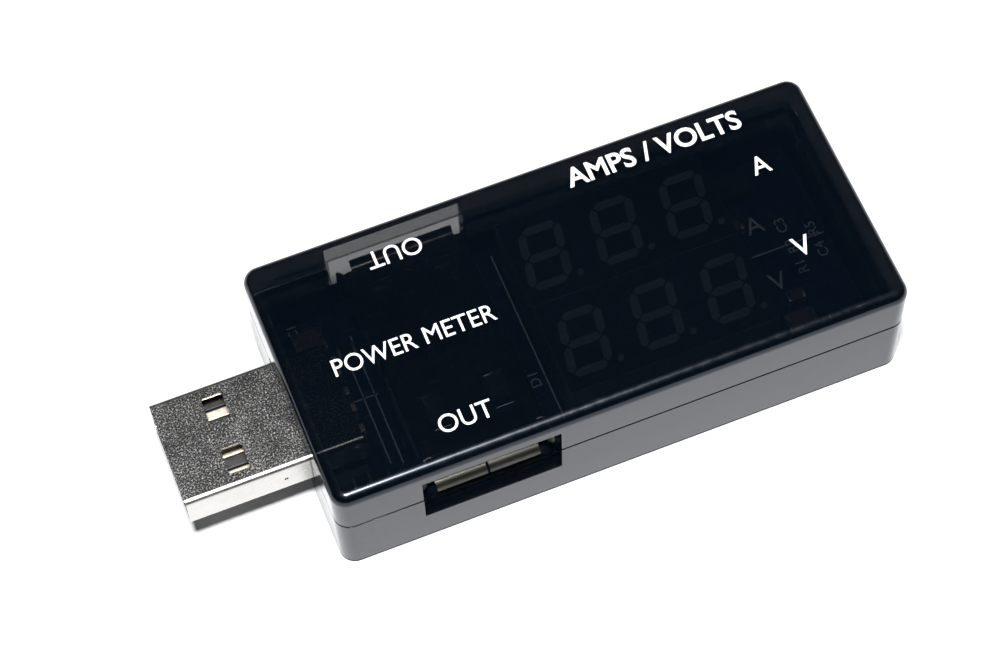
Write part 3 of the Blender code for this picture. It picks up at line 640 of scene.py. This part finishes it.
def case_look(center, tilt):
    """The smoked material for a face: the more plastic the eye looks through, the darker."""
    x, y, z = center
    depth = outline_depth(x, y)
    upright = tilt < UPRIGHT_BELOW
    near_roof = z > CASE_HEIGHT - ROOF_RADIUS
    near_floor = z < FLOOR_RADIUS
    in_port = abs(x - OPENING_X) < OPENING_SIZE[0] / 2 + SKIN and not near_floor
    in_seam = abs(z - SEAM_HEIGHT) < SEAM_GAP and not in_port
    if near_floor and depth < SKIN + FLOOR_RADIUS:
        return SMOKE_FOOT
    if near_roof and depth < ROOF_RADIUS and not upright:
        return SMOKE_RIM
    if in_seam and depth < WALL - LIP_THICKNESS + SKIN:
        return SMOKE_WALL
    if (near_roof or near_floor) and not upright:
        return SMOKE_ROOF
    if depth < SKIN or (near_roof or near_floor) and depth < ROOF_RADIUS:
        return SMOKE_WALL
    if in_port and depth < WALL - SKIN:
        return SMOKE_PORT
    return SMOKE_INSIDE


def finish_case(case, node):
    finish_piece(case, CASE_LOOKS[0], nodes=(node,))
    for material in CASE_LOOKS[1:]:
        case.data.materials.append(material)
    for face in case.data.polygons:
        face.material_index = CASE_LOOKS.index(case_look(face.center, abs(face.normal.z)))


def case_block_mesh(name, inset, low, high, plan_radius, **rounding):
    """A rounded block on the case's plan, from low to high, with its sides moved in."""
    size = (CASE_LENGTH - 2 * inset, CASE_WIDTH - 2 * inset, high - low)
    center = (CASE_MIDDLE, 0, (high + low) / 2)
    return rounded_box_mesh(name, size, center, plan_radius, **rounding)


def opening_mesh():
    size = (OPENING_SIZE[0], CASE_WIDTH + 2 * THROUGH, OPENING_SIZE[1])
    return boxes_mesh("port_openings", size, [(OPENING_X, 0, PORT_Z)])


def plug_hole_mesh():
    size = (3 * WALL, PLUG_WIDTH + 2 * GAP, PLUG_HEIGHT + 2 * GAP)
    return boxes_mesh("plug_hole", size, [(CASE_START, 0, PLUG_MIDDLE)])


def build_case_top():
    low = UPPER_LOW.z
    below = low - THROUGH
    case = add_object(case_block_mesh("case_top", 0, low, CASE_HEIGHT, PLAN_RADIUS,
                                      top_radius=ROOF_RADIUS))
    combine(case, case_block_mesh("hollow", WALL, below, CASE_HEIGHT - WALL, PLAN_RADIUS / 2,
                                  top_radius=GAP, plan_steps=6, rim_steps=4), "DIFFERENCE")
    inset = WALL - REBATE_DEPTH
    combine(case, case_block_mesh("rebate", inset, below, low + REBATE_RISE, PLAN_RADIUS - inset,
                                  plan_steps=6), "DIFFERENCE")
    combine(case, opening_mesh(), "DIFFERENCE")
    combine(case, plug_hole_mesh(), "DIFFERENCE")
    pocket = (CLIP_WIDTH + 2 * GAP, CASE_WIDTH - 2 * WALL + 2 * CLIP_HOOK + GAP,
              2 * CLIP_HOOK + 2 * GAP)
    centers = [(x, 0, CLIP_TOP - 2 * CLIP_HOOK) for x in CLIP_PLACES]
    combine(case, boxes_mesh("pockets", pocket, centers), "DIFFERENCE")
    soften(case, CASE_EDGE)
    finish_case(case, "upper_case")


def clip_mesh(x, side):
    """A snap arm that rises from the floor beside the wall, with a hook on top."""
    wall = CASE_WIDTH / 2 - WALL
    outer = wall - GAP
    inner = outer - CLIP_THICKNESS
    root_top = SEAM_HEIGHT - LIP_RISE
    outline = ((inner, WALL / 2), (wall + WALL / 2, WALL / 2), (wall + WALL / 2, root_top),
               (outer, root_top), (outer, CLIP_TOP - 3 * CLIP_HOOK),
               (wall + CLIP_HOOK - GAP, CLIP_TOP - 2 * CLIP_HOOK), (outer, CLIP_TOP),
               (inner, CLIP_TOP))
    bm = bmesh.new()
    extrude_outline(bm, [(x - CLIP_WIDTH / 2, side * y, z) for y, z in outline],
                    (CLIP_WIDTH, 0, 0))
    bmesh.ops.recalc_face_normals(bm, faces=bm.faces)
    return mesh_from(bm, "clip")


def build_case_bottom():
    case = add_object(case_block_mesh("case_bottom", 0, 0, LOWER_TOP, PLAN_RADIUS,
                                      bottom_radius=FLOOR_RADIUS, rim_steps=6))
    inset = WALL - LIP_THICKNESS
    lip_high = LOWER_TOP + LIP_RISE
    combine(case, case_block_mesh("lip", inset, LOWER_TOP - WALL, lip_high, PLAN_RADIUS - inset,
                                  plan_steps=6), "UNION")
    combine(case, case_block_mesh("hollow", WALL, WALL, lip_high + THROUGH, PLAN_RADIUS / 2,
                                  bottom_radius=GAP, plan_steps=6, rim_steps=4), "DIFFERENCE")
    combine(case, opening_mesh(), "DIFFERENCE")
    combine(case, plug_hole_mesh(), "DIFFERENCE")
    for x in CLIP_PLACES:
        for side in (-1, 1):
            combine(case, clip_mesh(x, side), "UNION")
    places = [(x, side * POST_Y) for x in POST_X for side in (-1, 1)]
    combine(case, rods_mesh("posts", POST_RADIUS, WALL / 2, BOARD_LOW.z - GAP, places), "UNION")
    combine(case, rods_mesh("pegs", PEG_RADIUS, WALL, BOARD_TOP + GAP, places), "UNION")
    soften(case, CASE_EDGE)
    finish_case(case, "lower_case")


# Plug

BROAD_FACE = 1.0 * MM * MM


def dimple_mesh(side):
    """The cutter for the small round dimple in the plug's narrow side."""
    bm = bmesh.new()
    placing = (Matrix.Translation((DIMPLE_X, side * PLUG_WIDTH / 2, PLUG_MIDDLE))
               @ Matrix.Rotation(math.pi / 2, 4, "X"))
    bmesh.ops.create_cone(bm, cap_ends=True, segments=24, radius1=DIMPLE_RADIUS,
                          radius2=DIMPLE_RADIUS, depth=SHEET, matrix=placing)
    return mesh_from(bm, "dimple")


def build_plug():
    """The plug's shell: polished bends and narrow sides, and a grain on its broad faces, coloured
    with painted glints and painted shade.
    """
    middle = ((PLUG_START + PLUG_END) / 2, 0, PLUG_MIDDLE)
    through = PLUG_LENGTH + 2 * THROUGH
    outside = (PLUG_LENGTH, PLUG_WIDTH, PLUG_HEIGHT)
    shell = add_object(rounded_bar_mesh("plug_jacket", outside, middle, PLUG_ROUNDING, 8))
    inside = (through, PLUG_WIDTH - 2 * SHEET, PLUG_HEIGHT - 2 * SHEET)
    combine(shell, rounded_bar_mesh("hollow", inside, middle, PLUG_INNER_ROUNDING, 4),
            "DIFFERENCE")
    window = (*PLUG_WINDOW, PLUG_HEIGHT + THROUGH)
    for side in (-1, 1):
        place = (PLUG_START + PLUG_WINDOW_SETBACK, side * PLUG_WINDOW_OFFSET, PLUG_MIDDLE)
        combine(shell, rounded_box_mesh("window", window, place, PLUG_WINDOW_ROUNDING,
                                        plan_steps=4), "DIFFERENCE")
    slit = (through, PLUG_SLIT, 3 * SHEET)
    combine(shell, boxes_mesh("slit", slit, [(middle[0], 0, PLUG_HIGH.z - PLUG_HEIGHT)]),
            "DIFFERENCE")
    leg = (LEG_WIDTH, LEG_THICKNESS, PLUG_MIDDLE - PLUG_LOW.z)
    leg_y = PLUG_WIDTH / 2 - SHEET / 2
    places = [(PLUG_END - LEG_WIDTH, side * leg_y, (PLUG_LOW.z + PLUG_MIDDLE) / 2)
              for side in (-1, 1)]
    combine(shell, boxes_mesh("legs", leg, places), "UNION")
    for side in (-1, 1):
        combine(shell, dimple_mesh(side), "DIFFERENCE")
    soften(shell, PLUG_EDGE, 3)
    finish_piece(shell, POLISHED, nodes=("plug_shell",))
    # The broad faces take the grained nickel, whose colour holds painted glints and painted shade
    add_look(shell, NICKEL_GRAIN_AND_GLINTS, lambda face: abs(face.normal.z) > ALIGNED and face.area > BROAD_FACE)


# Detail on the CAD's own shapes

PORT_LIP_START = CASE_WIDTH / 2 - PORT_SETBACK + SHEET


def refined(node, piece, radius, material, body=BODY):
    """A CAD node's shape with its sharp edges rounded, to stand for that node."""
    bm = bmesh.new()
    bm.from_mesh(NODES[node].data)
    bmesh.ops.remove_doubles(bm, verts=bm.verts, dist=WELD_DISTANCE)
    bmesh.ops.dissolve_limit(bm, angle_limit=COPLANAR_ANGLE, verts=bm.verts, edges=bm.edges)
    item = add_object(mesh_from(bm, piece))
    soften(item, radius)
    finish_piece(item, material, body, (node,))
    return item


def build_inner_metal():
    numbers = range(1, len(CONTACT_OFFSETS) + 1)
    for side in ("front", "back"):
        sleeve = refined(f"{side}_receptacle_shell", f"{side}_port_sleeve", SHEET_EDGE, BRIGHT)
        # The flared lips take the darker nickel, whose colour is painted shade
        add_look(sleeve, NICKEL_LIP_PAINTED_SHADE, lambda face: abs(face.center.y) > PORT_LIP_START)
        refined(f"{side}_receptacle_housing", f"{side}_port_tongue", PLASTIC_EDGE, PLASTIC)
        for number in numbers:
            spring = f"{side}_contact_spring_{number}"
            refined(spring, f"{side}_spring_{number}", FINE_EDGE, GOLD, spring)
            refined(f"{side}_contact_tail_{number}", f"{side}_tail_{number}", FINE_EDGE, GOLD)
    refined("plug_insulator", "plug_block", PLASTIC_EDGE, PLASTIC)
    for number in numbers:
        refined(f"plug_contact_{number}", f"plug_finger_{number}", FINE_EDGE, GOLD)


# Printing on the board and the roof

def line_outline(start, end, width):
    """The four corners of a straight line of some width."""
    start, end = Vector(start), Vector(end)
    along = (end - start).normalized()
    across = Vector((-along.y, along.x)) * width / 2
    return [start + across, start - across, end - across, end + across]


def add_lettering(level, material, slot, name, words, height, middle, turn, width=0, weight=0.0):
    """Printed words lying flat, sized in mm; without a width they keep the face's proportions."""
    curve = bpy.data.curves.new(name + "_text", "FONT")
    curve.body = words
    curve.size = 1.0
    curve.offset = weight
    curve.extrude = 0.5
    curve.resolution_u = 4
    holder = add_object(curve)
    mesh = evaluated_mesh(holder)
    mesh.name = name
    bpy.data.objects.remove(holder, do_unlink=True)
    low = Vector([min(vert.co[axis] for vert in mesh.vertices) for axis in range(3)])
    high = Vector([max(vert.co[axis] for vert in mesh.vertices) for axis in range(3)])
    scale_y = height * MM / (high.y - low.y)
    scale_x = width * MM / (high.x - low.x) if width else scale_y
    thickness = INK_THICKNESS / (high.z - low.z)
    place = Matrix.Translation((middle[0] * MM, middle[1] * MM, level + INK_THICKNESS / 2))
    spin = Matrix.Rotation(turn * math.pi, 4, "Z")
    sizing = Matrix.Diagonal((scale_x, scale_y, thickness, 1.0))
    mesh.transform(place @ spin @ sizing @ Matrix.Translation(-(low + high) / 2))
    finish_piece(add_object(mesh), material)


def build_silkscreen():
    outlines = []
    for line in SILK_LINES:
        start, end = [[value * MM for value in point] for point in line]
        outlines.append(line_outline(start, end, SILK_WIDTH))
    lines = add_object(polygon_mesh("board_lines", outlines, SILK_LOW, SILK_HIGH))
    finish_piece(lines, SILK)
    for mark in BOARD_MARKS:
        add_lettering(SILK_HIGH, SILK, "board_blue", *mark)


def build_prints():
    for words in ROOF_PRINTS:
        add_lettering(CASE_HEIGHT, PRINT, "smoked_case", *words)


# Displays

def segment_outlines():
    """Seven bars with pointed ends, and the point, round the digit's middle."""
    half_w = (DIGIT_WIDTH - STROKE) / 2
    half_h = (DIGIT_HEIGHT - STROKE) / 2
    half_s = STROKE / 2
    tip = SEGMENT_GAP
    bars = []
    for y in (-half_h, 0, half_h):
        bars.append([(-half_w + tip, y), (-half_w + tip + half_s, y + half_s),
                     (half_w - tip - half_s, y + half_s), (half_w - tip, y),
                     (half_w - tip - half_s, y - half_s), (-half_w + tip + half_s, y - half_s)])
    for x in (-half_w, half_w):
        for low, high in ((-half_h, 0), (0, half_h)):
            bars.append([(x, low + tip), (x + half_s, low + tip + half_s),
                         (x + half_s, high - tip - half_s), (x, high - tip),
                         (x - half_s, high - tip - half_s), (x - half_s, low + tip + half_s)])
    turns = [step * math.tau / DOT_SIDES for step in range(DOT_SIDES)]
    bars.append([(half_w + DOT_OFFSET + DOT_RADIUS * math.cos(turn),
                  -half_h + DOT_RADIUS * math.sin(turn)) for turn in turns])
    return bars


def build_displays():
    for label, middle_y in DIGIT_Y:
        node = f"{label}_display"
        low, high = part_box(node)
        refined(node, f"{label}_block", BLOCK_EDGE, DISPLAY_SIDE)
        size = (high.x - low.x - 2 * MASK_INSET, high.y - low.y - 2 * MASK_INSET, MASK_THICKNESS)
        center = ((low.x + high.x) / 2, (low.y + high.y) / 2, DISPLAY_TOP + MASK_LIFT)
        mask = add_object(rounded_box_mesh(f"{label}_mask", size, center, MASK_ROUNDING,
                                           plan_steps=4))
        finish_piece(mask, DISPLAY_FACE)
        outlines = [[(digit_x + x + y * SLANT, middle_y + y) for x, y in bar]
                    for digit_x in DIGIT_X for bar in segment_outlines()]
        level = DISPLAY_TOP + DIGIT_LIFT
        digits = add_object(polygon_mesh(f"{label}_digits", outlines, level, level + DIGIT_RISE))
        finish_piece(digits, SEGMENT)


# Small parts and solder

SMALL_PARTS = (
    (EPOXY, "chip_black", (*CHIPS, "voltage_regulator")),
    (RESISTOR, "resistor_black", ("shunt_resistor", "divider_resistor_1", "divider_resistor_2",
                                  "data_resistor_1")),
    (CERAMIC, "capacitor_ceramic", ("input_capacitor", "output_capacitor",
                                    "decoupling_capacitor_1", "decoupling_capacitor_2")),
)


def pin_mark_mesh(node):
    """The cutter for the small round dimple in a chip's top, beside its first pin."""
    low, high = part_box(node)
    place = (low.x + PIN_MARK_INSET, (low.y + high.y) / 2 - PIN_MARK_INSET)
    return rods_mesh("pin_mark", PIN_MARK_RADIUS, high.z - PIN_MARK_DEPTH, high.z + GAP, [place])


def build_end_caps(node):
    """Tinned ends that wrap a small part's body."""
    low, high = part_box(node)
    size = (CAP_SHARE * (high.x - low.x) + CAP_FILM, high.y - low.y + 2 * CAP_FILM,
            high.z - low.z + CAP_FILM)
    ends = (low.x - CAP_FILM + size[0] / 2, high.x + CAP_FILM - size[0] / 2)
    centers = [(x, (low.y + high.y) / 2, low.z + size[2] / 2) for x in ends]
    caps = add_object(boxes_mesh(f"{node}_caps", size, centers))
    soften(caps, SOLDER_EDGE)
    finish_piece(caps, SOLDER)


def build_small_parts():
    for material, slot, nodes in SMALL_PARTS:
        for node in nodes:
            body = refined(node, f"{node}_body", FINE_EDGE, material)
            if node in CHIPS:
                combine(body, pin_mark_mesh(node), "DIFFERENCE")
            elif material is not EPOXY:
                build_end_caps(node)


def pin_places():
    """Where pins come through the board: port contacts, plug contacts, then display pins."""
    port_y = CASE_WIDTH / 2 - PORT_SETBACK - TAIL_Y
    places = [(PORT_X + turn * x, -turn * port_y) for turn in (1, -1) for x in CONTACT_OFFSETS]
    places += [(PLUG_END + 2 * GAP, y) for y in CONTACT_OFFSETS]
    for label, _ in DIGIT_Y:
        low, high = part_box(f"{label}_display")
        middle_x, middle_y = (low.x + high.x) / 2, (low.y + high.y) / 2
        places += [(middle_x + (index - (DISPLAY_PINS - 1) / 2) * PIN_PITCH,
                    middle_y + row * PIN_ROWS / 2)
                   for index in range(DISPLAY_PINS) for row in (-1, 1)]
    return places


def solder_mesh(name, places, level, side):
    """Small cones of solder round the pins, rising from the board's top or hanging below it."""
    bm = bmesh.new()
    for x, y in places:
        placing = Matrix.Translation((x, y, level + side * SOLDER_RISE / 2))
        lower, upper = (SOLDER_RADIUS, SOLDER_RADIUS / 2)[::side]
        bmesh.ops.create_cone(bm, cap_ends=True, segments=16, radius1=lower, radius2=upper,
                              depth=SOLDER_RISE, matrix=placing)
    return mesh_from(bm, name)


def build_solder():
    places = pin_places()
    for label, level, side in (("top", BOARD_TOP, 1), ("under", BOARD_LOW.z, -1)):
        item = add_object(solder_mesh(f"solder_{label}", places, level, side))
        soften(item, SOLDER_EDGE)
        finish_piece(item, SOLDER)


# Studio

CAMERA_AZIMUTH = math.radians(-18.71)
CAMERA_ELEVATION = math.radians(61.98)
CAMERA_ROLL = math.radians(-3.26)
CAMERA_TARGET = Vector((-0.17, 4.57, 0.0)) * MM
CAMERA_DISTANCE = 289.91 * MM
CAMERA_LENS = 99.67
CAMERA_SENSOR = 36.0
CAMERA_RANGE = (5 * MM, 20.0)

# The table's rings, as (radius, height): flat in the middle, with a raised rim
TABLE_PROFILE = ((0.4, 0.0), (0.9, 0.0), (1.1, 0.02), (1.25, 0.07), (1.35, 0.16))
TABLE_SIDES = 64

SOFTBOX_PLACE = (-0.036, -0.092, 0.46)
SOFTBOX_SIZE = (0.09, 0.062)
SOFTBOX_POWER = 4.8
ROOM_COLOUR = (0.92, 0.94, 1.0, 1)
ROOM_STRENGTH = 0.05


def build_table():
    bm = bmesh.new()
    turns = [step * math.tau / TABLE_SIDES for step in range(TABLE_SIDES)]
    rings = [[bm.verts.new((radius * math.cos(turn), radius * math.sin(turn), height))
              for turn in turns] for radius, height in TABLE_PROFILE]
    bm.faces.new(rings[0])
    for inner, outer in zip(rings, rings[1:]):
        for step in range(TABLE_SIDES):
            after = (step + 1) % TABLE_SIDES
            bm.faces.new((inner[step], outer[step], outer[after], inner[after]))
    bmesh.ops.recalc_face_normals(bm, faces=bm.faces)
    table = add_object(mesh_from(bm, "studio_table"))
    table.data.shade_smooth()
    table.data.materials.append(PAPER)


def build_light():
    """One softbox that faces straight down, overhead and a little in front, and a dim room."""
    softbox = bpy.data.lights.new("key_softbox", "AREA")
    softbox.shape = "RECTANGLE"
    softbox.size, softbox.size_y = SOFTBOX_SIZE
    softbox.energy = SOFTBOX_POWER
    add_object(softbox).location = SOFTBOX_PLACE
    room = bpy.data.worlds.new("studio_room")
    bpy.context.scene.world = room
    room.use_nodes = True
    set_inputs(room.node_tree.nodes["Background"], Color=ROOM_COLOUR, Strength=ROOM_STRENGTH)
    bpy.context.scene.view_settings.view_transform = "Standard"


def build_camera():
    """A long lens that looks at the target from the photograph's side, turned by its roll."""
    lens = bpy.data.cameras.new("studio_camera")
    lens.lens = CAMERA_LENS
    lens.sensor_width = CAMERA_SENSOR
    lens.clip_start, lens.clip_end = CAMERA_RANGE
    camera = add_object(lens)
    flat = math.cos(CAMERA_ELEVATION)
    back = Vector((math.sin(CAMERA_AZIMUTH) * flat, -math.cos(CAMERA_AZIMUTH) * flat,
                   math.sin(CAMERA_ELEVATION)))
    right = Vector((0, 0, 1)).cross(back).normalized()
    up = back.cross(right)
    turn = Matrix((right, up, back)).transposed().to_4x4()
    place = Matrix.Translation(CAMERA_TARGET + back * CAMERA_DISTANCE)
    camera.matrix_world = place @ turn @ Matrix.Rotation(CAMERA_ROLL, 4, "Z")
    bpy.context.scene.camera = camera


build_case_top()
build_case_bottom()
build_plug()
build_inner_metal()
refined("circuit_board", "board", FINE_EDGE, BOARD)
build_silkscreen()
build_displays()
build_small_parts()
build_solder()
build_prints()
build_table()
build_light()
build_camera()
